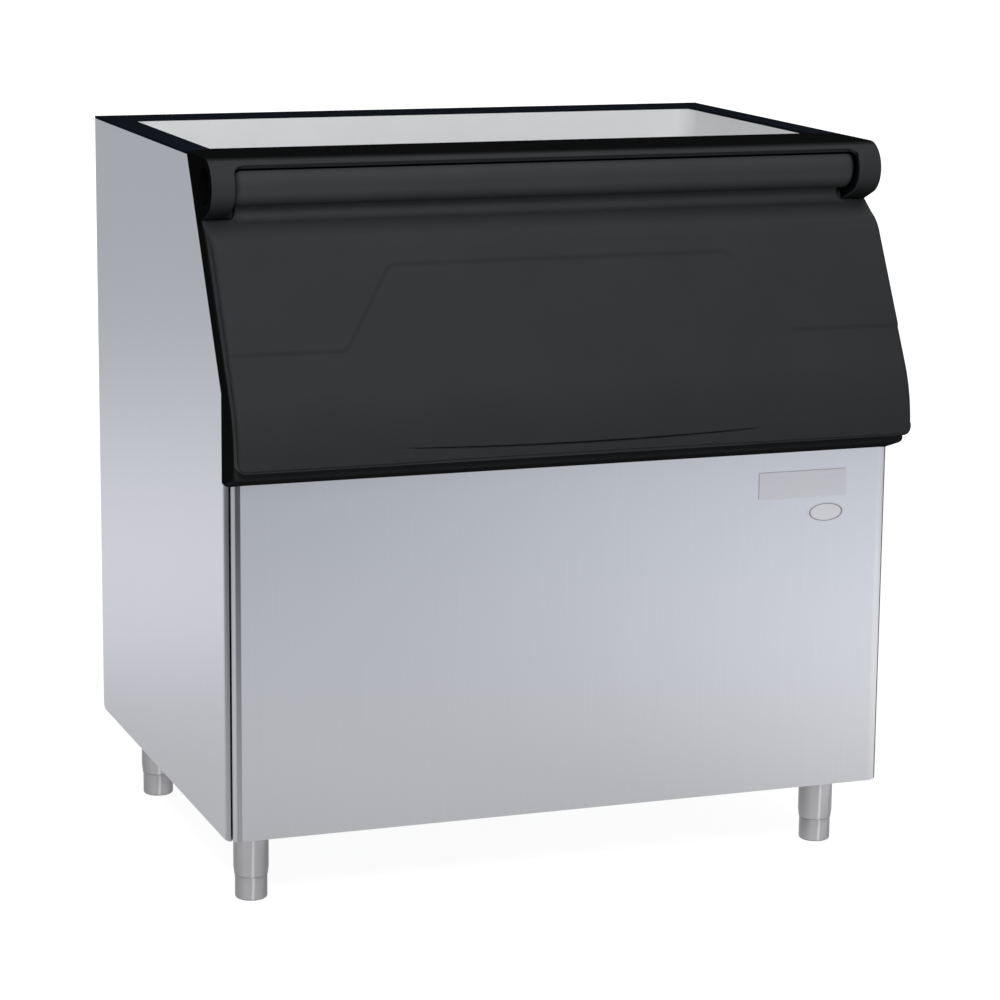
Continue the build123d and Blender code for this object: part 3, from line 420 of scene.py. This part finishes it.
finish = {
    "stainless": STEEL,
    "black_plastic": SHELL,
    "rim_plastic": NAVY,
    "liner_plastic": WHITE,
    "foam": FOAM,
    "seal_rubber": RUBBER,
    "screw_steel": SCREW,
    "bush_plastic": BUSH,
    "drain_plastic": DRAIN,
    "strainer_steel": SCREW,
    "badge_metal": BADGE,
    "oval_plate": OVAL,
    "leg_steel": LEG,
    "plate_steel": PLATE,
}


def dress(piece, material):
    """Gives a piece one material."""
    piece.data.materials.clear()
    piece.data.materials.append(material)


for part in frame["record"]["subparts"]:
    dress(nodes[part["node"]], finish[part["material_slot"]])
dress(nodes["header_cover"], HEADER)
for name in ("door_frame", "left_hinge_pin", "right_hinge_pin"):
    dress(nodes[name], FRAME)
for name in ("left_corner_post", "right_corner_post"):
    dress(nodes[name], POST)


# Softened edges of CAD parts


def soften(name, width, segments=3, angle=32):
    """Rounds a CAD part's sharp edges with modifiers."""
    piece = nodes[name]
    weld = piece.modifiers.new("weld", "WELD")
    weld.merge_threshold = 0.00001
    bevel = piece.modifiers.new("bevel", "BEVEL")
    bevel.width = width
    bevel.segments = segments
    bevel.limit_method = "ANGLE"
    bevel.angle_limit = math.radians(angle)
    bevel.harden_normals = True
    bevel.use_clamp_overlap = True


# Door


def side_point(along, out):
    """Side-view place up the slope and out from it."""
    return (
        along * math.sin(SLOPE_ANGLE) - out * math.cos(SLOPE_ANGLE),
        SLOPE_FOOT + along * math.cos(SLOPE_ANGLE) + out * math.sin(SLOPE_ANGLE),
    )


def rounded(corners, turn=math.radians(5)):
    """Closed outline through corners (x, y, radius), with each corner rounded."""
    points = []
    count = len(corners)
    for index, (x, y, radius) in enumerate(corners):
        corner = Vector((x, y))
        before = (Vector(corners[index - 1][:2]) - corner).normalized()
        after = (Vector(corners[(index + 1) % count][:2]) - corner).normalized()
        if radius == 0:
            points.append(corner)
            continue
        between = before.angle(after)
        reach = radius / math.tan(between / 2)
        middle = corner + (before + after).normalized() * (radius / math.sin(between / 2))
        start = corner + before * reach - middle
        swing = math.pi - between
        if start.cross(corner + after * reach - middle) < 0:
            swing = -swing
        steps = max(2, math.ceil(abs(swing) / turn))
        for step in range(steps + 1):
            angle = swing * step / steps
            spoke = Vector(
                (
                    start.x * math.cos(angle) - start.y * math.sin(angle),
                    start.x * math.sin(angle) + start.y * math.cos(angle),
                )
            )
            points.append(middle + spoke)
    return points


def divided(points, pitch, closed=True):
    """The outline with no run longer than pitch(middle of the run)."""
    result = []
    count = len(points)
    for index in range(count if closed else count - 1):
        start, end = points[index], points[(index + 1) % count]
        run = (end - start).length
        parts = max(1, math.ceil(run / pitch((start + end) / 2)))
        result += [start.lerp(end, part / parts) for part in range(parts)]
    if not closed:
        result.append(points[-1])
    return result


def outward(points):
    """Unit normals of a closed outline, pointing out of it."""
    count = len(points)
    normals = []
    area = sum(points[i - 1].cross(points[i]) for i in range(count))
    for index in range(count):
        run = points[(index + 1) % count] - points[index - 1]
        normal = Vector((run.y, -run.x)).normalized()
        normals.append(normal if area > 0 else -normal)
    return normals


def smooth_step(value):
    """Values from 0 to 1 eased at both ends."""
    value = np.clip(value, 0, 1)
    return value * value * (3 - 2 * value)


def swept(name, xs, rings, material, body):
    """Closed skin through one outline per x, with flat ends."""
    rows = len(rings[0])
    vertices = [(x, FRONT_Y + b, z) for x, ring in zip(xs, rings) for b, z in ring]
    faces = []
    for column in range(len(xs) - 1):
        base = column * rows
        for row in range(rows):
            following = (row + 1) % rows
            faces.append((base + row, base + following, base + rows + following, base + rows + row))
    faces.append(tuple(range(rows)))
    faces.append(tuple(reversed(range((len(xs) - 1) * rows, len(xs) * rows))))
    mesh = bpy.data.meshes.new(name)
    mesh.from_pydata(vertices, [], faces)
    bm = bmesh.new()
    bm.from_mesh(mesh)
    bmesh.ops.recalc_face_normals(bm, faces=bm.faces)
    bm.to_mesh(mesh)
    bm.free()
    mesh.shade_smooth()
    mesh.set_sharp_from_angle(angle=math.radians(38))
    piece = bpy.data.objects.new(name, mesh)
    bpy.context.scene.collection.objects.link(piece)
    dress(piece, material)
    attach(piece, body)
    return piece


# How far ahead of the case, and how far out from its slope, the door's front and its rear lie
DOOR_REACH, DOOR_OUT = 0.071, 0.063
DOOR_REAR_REACH, DOOR_REAR_OUT = 0.047, 0.040

# Side-view places round the door's shoulder
SHOULDER_BEND = (0.0663, 1.0049)
SHOULDER_TOP = (0.1189, 1.0334)
SHOULDER_REAR = (0.1207, 1.0325)
SHOULDER_UNDER = (0.0944, 1.0070)
SHOULDER_EDGE = 0.0005

# Rounding of the door's ends seen from above, and of its foot's ends seen from ahead
EDGE = 0.007
FOOT_CORNER, FOOT_FADE = 0.012, 0.03

# The step across the face: its depth, and its upper edge as heights up the slope and half widths
STEP = 0.0024
HUMP_TOP, HUMP_TOP_HALF, HUMP_TOP_CORNER = 0.211, 0.272, 0.028
HUMP_FOOT, HUMP_FOOT_HALF, HUMP_FOOT_CORNER = 0.080, 0.356, 0.012
PAST_DOOR = 0.7

# The grip crease: its half width, height and sag, and the depths of its ledge and groove
GRIP_HALF = 0.285
GRIP_HEIGHT, GRIP_SAG = 0.716, 0.006
GRIP_LEDGE, GRIP_GROOVE = 0.0015, 0.004
GRIP_TOP = 0.73

# The roll, and the neck between it and the shoulder
ROLL_RADIUS, ROLL_HALF, ROLL_EDGE = 0.031, 0.497, 0.013
NECK_FRONT, NECK_MIDDLE, NECK_REAR = 0.118, 0.127, 0.136
NECK_CREST, NECK_SHOULDER, NECK_FADE, NECK_REAR_END = 1.070, 1.0330, 1.040, 1.046
NECK_HALF, NECK_EDGE, NECK_FLARE = 0.4865, 0.003, 0.010
NECK_CORNER, NECK_FADE_RUN = 0.013, 0.006
NECK_UNDER = ((0.100, 1.0226), (0.100, 1.012), (0.1257, 1.0079), (NECK_REAR, 1.0264))

# Turns round an end, in degrees
END_TURNS = (15, 30, 45, 60, 75, 90)

# What counts as the front, which the step and the crease are worked into: low on the door by where it lies
# and faces, higher up by how far out it is from the slope
LOW_TOP, LOW_BEHIND = 0.80, -0.030
FACES_AHEAD = -0.2
MARGIN = 0.005
SHOULDER_FADE = 0.035
HIDDEN_BEHIND, CREASE_BEHIND = 0.09, -0.05

# Distances between the points of the face: where it is hidden, in front, and by the crease
COARSE, FINE, FINEST = 0.02, 0.003, 0.0008


def door_outline():
    """Side view of the door below its neck, from the rear of its foot round the front."""

    def bend(reach, out):
        return side_point((out * math.cos(SLOPE_ANGLE) - reach) / math.sin(SLOPE_ANGLE), out)

    return [
        (-DOOR_REAR_REACH, DOOR_BOTTOM, 0.002),
        (-DOOR_REACH, DOOR_BOTTOM, 0.006),
        (*bend(DOOR_REACH, DOOR_OUT), 0.200),
        (*SHOULDER_BEND, 0.050),
        (*SHOULDER_TOP, SHOULDER_EDGE),
        (*SHOULDER_REAR, SHOULDER_EDGE),
        (*SHOULDER_UNDER, 0.004),
        (*bend(DOOR_REAR_REACH, DOOR_REAR_OUT), 0.180),
    ]


def hump_edge():
    """Upper edge of the sunk area of the door's face, as (distance from the middle, height up the slope)."""
    corners = [
        (-0.1, HUMP_TOP, 0),
        (HUMP_TOP_HALF, HUMP_TOP, HUMP_TOP_CORNER),
        (HUMP_FOOT_HALF, HUMP_FOOT, HUMP_FOOT_CORNER),
        (PAST_DOOR, HUMP_FOOT, 0),
    ]
    return np.array([tuple(point) for point in rounded(corners, math.radians(6))])


def sunk(x, along):
    """How far, from 0 to 1, the door's face is sunk at places across it and up its slope."""
    edge = hump_edge()
    x = np.abs(x)
    nearest = np.full(x.shape, PAST_DOOR)
    for (x0, y0), (x1, y1) in zip(edge[:-1], edge[1:]):
        dx, dy = x1 - x0, y1 - y0
        share = np.clip(((x - x0) * dx + (along - y0) * dy) / (dx * dx + dy * dy), 0, 1)
        nearest = np.minimum(nearest, np.hypot(x - x0 - share * dx, along - y0 - share * dy))
    below = along < np.interp(x, edge[:, 0], edge[:, 1])
    signed = np.where(below, nearest, -nearest)
    return smooth_step((signed + 0.002) / 0.004)


def grip_depth(x, z):
    """How deep the grip crease is at places up one line of the face; it fades out towards its ends."""
    share = max(0.0, 1 - (x / GRIP_HALF) ** 2)
    crease = GRIP_HEIGHT - GRIP_SAG * share
    ledge = smooth_step((crease - z) / 0.0012 + 0.5)
    groove = smooth_step(1 - np.abs(z - crease + 0.0012) / 0.0022)
    return (GRIP_LEDGE * ledge + GRIP_GROOVE * groove) * math.sqrt(share) * (z < GRIP_TOP)


def end_inset(x, radius):
    """How far a rounded end of the door is drawn in at a place across it."""
    past = max(0.0, abs(x) - (HALF_WIDTH - radius))
    return radius - math.sqrt(max(0.0, radius**2 - past**2))


def make_door_face():
    """The door below its neck, with the step and the grip crease worked into its front."""

    def pitch(middle):
        if middle.x > HIDDEN_BEHIND or middle.x > LOW_BEHIND and middle.y < LOW_TOP:
            return COARSE
        return FINEST if middle.x < CREASE_BEHIND and middle.y < GRIP_TOP - MARGIN else FINE

    points = divided(rounded(door_outline(), math.radians(2.5)), pitch)
    b, z = np.array([tuple(point) for point in points]).T
    nb, nz = np.array([tuple(normal) for normal in outward(points)]).T
    along = b * math.sin(SLOPE_ANGLE) + (z - SLOPE_FOOT) * math.cos(SLOPE_ANGLE)
    out = (z - SLOPE_FOOT) * math.sin(SLOPE_ANGLE) - b * math.cos(SLOPE_ANGLE)
    front = (nb < FACES_AHEAD) & (b < LOW_BEHIND) & (z < LOW_TOP) | (out > DOOR_OUT - MARGIN)
    thin = np.clip((SHOULDER_REAR[0] - b) / SHOULDER_FADE, 0.03, 1)
    turned = np.clip(-1.5 * nb, 0, 1)
    low = np.clip(1 - (z - DOOR_BOTTOM) / FOOT_FADE, 0, 1)

    flat = HALF_WIDTH - EDGE
    ends = [flat + EDGE * math.sin(math.radians(angle)) for angle in END_TURNS]
    xs = [-x for x in reversed(ends)] + list(np.arange(-flat, flat + 0.0001, FINE)) + ends
    rings = []
    for x in xs:
        depth = (STEP * sunk(np.full(b.shape, x), along) + grip_depth(x, z)) * front
        depth += end_inset(x, EDGE) * thin * turned
        lift = end_inset(x, FOOT_CORNER) * low
        rings.append(list(zip(b - nb * depth, z - nz * depth + lift)))
    return swept("door_face", xs, rings, SHELL, "door")


def ends_rounded(half, edge):
    """Places across the bin with how far the form is drawn in at each by its rounded ends."""
    middle = half - edge
    turns = [math.radians(angle) for angle in END_TURNS]
    ends = [(middle + edge * math.sin(turn), edge * (1 - math.cos(turn))) for turn in turns]
    inner = [(x, 0.0) for x in np.linspace(-middle, middle, round(2 * middle / COARSE))]
    return [(-x, inset) for x, inset in reversed(ends)] + inner + ends


def make_door_roll():
    """The roll along the top of the door."""
    centre = Vector(HINGE)
    turns = [math.radians(angle) for angle in range(0, 360, 3)]
    points = [centre + Vector((math.cos(turn), math.sin(turn))) * ROLL_RADIUS for turn in turns]
    normals = outward(points)
    stations = ends_rounded(ROLL_HALF, ROLL_EDGE)
    rings = [[tuple(p - n * inset) for p, n in zip(points, normals)] for _, inset in stations]
    return swept("door_roll", [x for x, _ in stations], rings, ROLL_LIT, "door")


def make_door_neck():
    """The neck that joins the roll to the door, flared on three sides where it meets the shoulder."""
    front, rear = NECK_FRONT, NECK_REAR
    corners = [
        (front, NECK_CREST, 0),
        (front, NECK_SHOULDER, NECK_CORNER),
        *((b, z, 0) for b, z in NECK_UNDER),
        (rear, NECK_CREST, 0),
    ]
    points = divided(rounded(corners), lambda middle: FINE)
    stations = [(x, inset, NECK_CREST) for x, inset in ends_rounded(NECK_HALF, NECK_EDGE)]
    flare = NECK_FLARE
    ends = []
    for share in (0, 0.1, 0.25, 0.45, 0.7, 1):
        top = NECK_SHOULDER + flare - math.sqrt(flare**2 - (flare - flare * share) ** 2)
        ends.append((NECK_HALF + flare * share, 0, top))
    stations = [(-x, *rest) for x, *rest in reversed(ends)] + stations + ends
    rings = []
    for _, inset, top in stations:
        ring = []
        for b, z in points:
            if b < NECK_MIDDLE:
                back = inset * min(1, max(0, (z - NECK_FADE) / NECK_FADE_RUN))
                ring.append((b + back, min(z, top)))
            else:
                ring.append((b, min(z, max(top, NECK_REAR_END))))
        rings.append(ring)
    return swept("door_neck", [x for x, _, _ in stations], rings, NECK_LIT, "door")


for form in (make_door_face(), make_door_roll(), make_door_neck()):
    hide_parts("door_shell")


# Header

# The lip: the angle up from straight ahead where it ends, its rounded corners, and where the ears start
LIP_EDGE = math.radians(51)
LIP_CORNER = 0.013
LIP_END = 0.4985
EAR_INNER = 0.503

# Distances from the hinge axis: the header's outside, the inside of its lip and of the painted shadow strip
# behind it
EAR_RADIUS = TOP - HINGE[1]
LIP_PROUD = 0.00005
LIP_INSIDE = 0.0337
SHADOW_STRIP_INSIDE = 0.0314
LIP_SOFT = 0.0007


def lip_point(around, distance):
    """Side-view place at an angle up from straight ahead of the hinge."""
    return HINGE[0] - distance * math.cos(around), HINGE[1] + distance * math.sin(around)


def lip_curve():
    """The lip's edge where it turns down into an ear, as (distance from the middle, angle)."""
    curve = []
    steps = 14
    for step in range(steps + 1):
        turn = math.pi / 2 * step / steps
        drop = LIP_CORNER * (1 - math.cos(turn))
        curve.append((LIP_END - LIP_CORNER * (1 - math.sin(turn)), LIP_EDGE - drop / EAR_RADIUS))
    return curve + [(EAR_INNER, curve[-1][1])]


def fan(start, end, parts):
    """Angles from start to end."""
    return [start + (end - start) * part / parts for part in range(parts + 1)]


def make_lip_corner(side):
    """Rounded corner where the header's lip runs into an ear."""
    outer = EAR_RADIUS + LIP_PROUD
    xs, rings = [], []
    for x, lower in lip_curve():
        angles = fan(lower, LIP_EDGE + 0.12, 8)
        tip = lower - 0.015
        ring = [lip_point(around, outer) for around in reversed(angles)]
        ring += [lip_point(tip, outer - LIP_SOFT), lip_point(tip, LIP_INSIDE + LIP_SOFT)]
        ring += [lip_point(around, LIP_INSIDE) for around in angles]
        xs.append(side * x)
        rings.append(ring)
    swept("lip_corner", xs, rings, HEADER, "cabinet")


def make_lip_shadow_strip():
    """Near-black strip behind the lip's edge, close round the roll, that stands in for the shadow in the gap:
    a painted shadow.
    """
    curve = lip_curve()
    curve = [(-x, lower) for x, lower in reversed(curve)] + curve
    rings = []
    for _, lower in curve:
        angles = fan(lower - 0.05, lower + 0.20, 6)
        ring = [lip_point(around, LIP_INSIDE) for around in reversed(angles)]
        rings.append(ring + [lip_point(around, SHADOW_STRIP_INSIDE) for around in angles])
    swept("lip_shadow_strip", [x for x, _ in curve], rings, SHADOW_STRIP, "cabinet")


for side in (-1, 1):
    make_lip_corner(side)
make_lip_shadow_strip()

for name in ("header_cover", "door_frame"):
    soften(name, 0.0015)
for corner in CORNERS:
    soften(corner + "_leg_sleeve", 0.0006, 2)
    soften(corner + "_foot", 0.0006, 2)
soften("badge_plate", 0.0005, 2)


# Floor, light and background


# How far the floor reaches, where it turns wholly white, and the world's strength in reflections and as light
FLOOR_REACH = 90
WHITE_RING = (1.5, 5)
WORLD_REFLECTED, WORLD_LIGHT = 0.55, 0.4

# How far from the middle the patches of painted light for reflections reach, and their greatest strength
POOL_DEPTH, POOL_WIDTH, POOL_PEAK = 6, 3, 2

# Painted light on the floor, seen only in reflections, that the steel mirrors: its tone at places behind (+)
# and ahead (-), in metres
# The stops of AHEAD and ACROSS were solved by a fitting program from tones of the photo, and weren't
# chosen by hand.
AHEAD = (
    (-4.2, (0.38, 0.40, 0.42)),
    (-3.6, (0.52, 0.55, 0.58)),
    (-3.0, (0.72, 0.74, 0.80)),
    (-2.5, (0.79, 0.82, 0.87)),
    (-2.0, (0.85, 0.87, 0.91)),
    (-1.5, (0.89, 0.89, 0.91)),
    (-1.1, (0.85, 0.85, 0.85)),
    (-0.7, (0.76, 0.75, 0.75)),
    (0.3, (0.70, 0.70, 0.70)),
    (0.8, (0.76, 0.76, 0.78)),
    (1.4, (0.92, 0.92, 0.97)),
    (2.2, (0.95, 0.94, 1.00)),
    (3.2, (0.83, 0.84, 0.87)),
    (4.2, (0.67, 0.68, 0.70)),
    (5.4, (0.55, 0.56, 0.59)),
)

# Its strength at places to the left (-) and right (+)
ACROSS = (
    (-2.4, 0.97),
    (-1.9, 1.02),
    (-1.5, 1.04),
    (-1.1, 1.01),
    (-0.6, 0.90),
    (0.3, 0.90),
    (0.7, 1.10),
    (1.15, 1.36),
    (1.6, 1.56),
    (2.0, 1.61),
    (2.4, 1.55),
    (2.9, 0.95),
)


def stops_across(table, reach, color):
    """Ramp stops for a table of places up to reach from the middle."""
    return [((at + reach) / (2 * reach), color(tone)) for at, tone in table]


def make_floor():
    """Flat mesh for the floor."""
    corners = [(x * FLOOR_REACH, y * FLOOR_REACH, 0) for x, y in ((-1, -1), (1, -1), (1, 1), (-1, 1))]
    floor = bpy.data.meshes.new("floor")
    floor.from_pydata(corners, [], [(0, 1, 2, 3)])
    piece = bpy.data.objects.new("floor", floor)
    bpy.context.scene.collection.objects.link(piece)
    return piece


def make_stage():
    """Pale floor, white to the camera, that glows only in reflections with patches of painted light for the
    steel to mirror.
    """
    piece = make_floor()
    material = bpy.data.materials.new("floor")
    material.use_nodes = True
    material.node_tree.nodes.clear()
    tree = Tree(material.node_tree)
    path = tree.add("ShaderNodeLightPath")
    place = tree.add("ShaderNodeTexCoord").outputs["Object"]
    length = tree.add("ShaderNodeVectorMath", operation="LENGTH")
    tree.link(place, length.inputs[0])
    sideways, ahead, _ = tree.parts(place)
    stops = stops_across(AHEAD, POOL_DEPTH, tuple)
    pool = tree.ramp(tree.spread(ahead, 0, 1, -POOL_DEPTH, POOL_DEPTH), stops)
    stops = stops_across(ACROSS, POOL_WIDTH, lambda tone: (tone / POOL_PEAK,) * 3)
    level = tree.ramp(tree.spread(sideways, 0, 1, -POOL_WIDTH, POOL_WIDTH), stops)

    def glow(strength, color=None):
        light = tree.add("ShaderNodeEmission")
        tree.link(strength, light.inputs["Strength"])
        if color is not None:
            tree.link(color, light.inputs["Color"])
        return light.outputs[0]

    def matte(tone):
        surface = tree.add("ShaderNodeBsdfDiffuse")
        surface.inputs["Color"].default_value = (tone, tone, tone, 1)
        return surface.outputs[0]

    def mixed(share, first, second):
        mix = tree.add("ShaderNodeMixShader")
        tree.link(share, mix.inputs[0])
        tree.link(first, mix.inputs[1])
        tree.link(second, mix.inputs[2])
        return mix.outputs[0]

    both = tree.add("ShaderNodeAddShader")
    tree.link(glow(tree.spread(length.outputs["Value"], 0.86, 1, *WHITE_RING)), both.inputs[0])
    tree.link(matte(0.42), both.inputs[1])
    seen = tree.math("MAXIMUM", path.outputs["Is Camera Ray"], path.outputs["Is Transmission Ray"])
    surface = mixed(seen, matte(0.8), both.outputs[0])
    # The floor glows only for reflected rays, a painted reflection on the steel
    mirrored = glow(tree.spread(level, 0, POOL_PEAK, 0, 1), pool)
    surface = mixed(path.outputs["Is Glossy Ray"], surface, mirrored)
    tree.link(surface, tree.add("ShaderNodeOutputMaterial").inputs[0])
    piece.data.materials.append(material)


def light_world():
    """White all round: full to the camera, dimmer in reflections and dimmer still as light."""
    world = bpy.data.worlds.new("world")
    bpy.context.scene.world = world
    world.use_nodes = True
    tree = Tree(world.node_tree)
    path = tree.add("ShaderNodeLightPath")
    seen = tree.math("MAXIMUM", path.outputs["Is Camera Ray"], path.outputs["Is Transmission Ray"])
    reflected = tree.math("MULTIPLY", path.outputs["Is Glossy Ray"], WORLD_REFLECTED - WORLD_LIGHT)
    shown = tree.math("MULTIPLY", seen, 1 - WORLD_LIGHT)
    strength = tree.math("ADD", tree.math("ADD", shown, reflected), WORLD_LIGHT)
    background = world.node_tree.nodes["Background"]
    tree.link(strength, background.inputs["Strength"])
    background.inputs["Color"].default_value = (1, 1, 1, 1)


def area_light(name, place, target, size, power):
    """Lamp that faces its target."""
    data = bpy.data.lights.new(name, "AREA")
    data.shape = "RECTANGLE"
    data.size, data.size_y = size
    data.energy = power
    lamp = bpy.data.objects.new(name, data)
    lamp.location = place
    aim = Vector(target) - Vector(place)
    lamp.rotation_euler = aim.to_track_quat("-Z", "Y").to_euler()
    bpy.context.scene.collection.objects.link(lamp)


make_stage()
light_world()
area_light("key", (-1.3, -2.7, 2.3), (0, -0.3, 0.8), (1.2, 0.8), 42)
area_light("overhead", (0.5, -1.2, 3.4), (0, 0, 0.9), (2.4, 2.0), 35)

scene = bpy.context.scene
scene.view_settings.view_transform = "Standard"
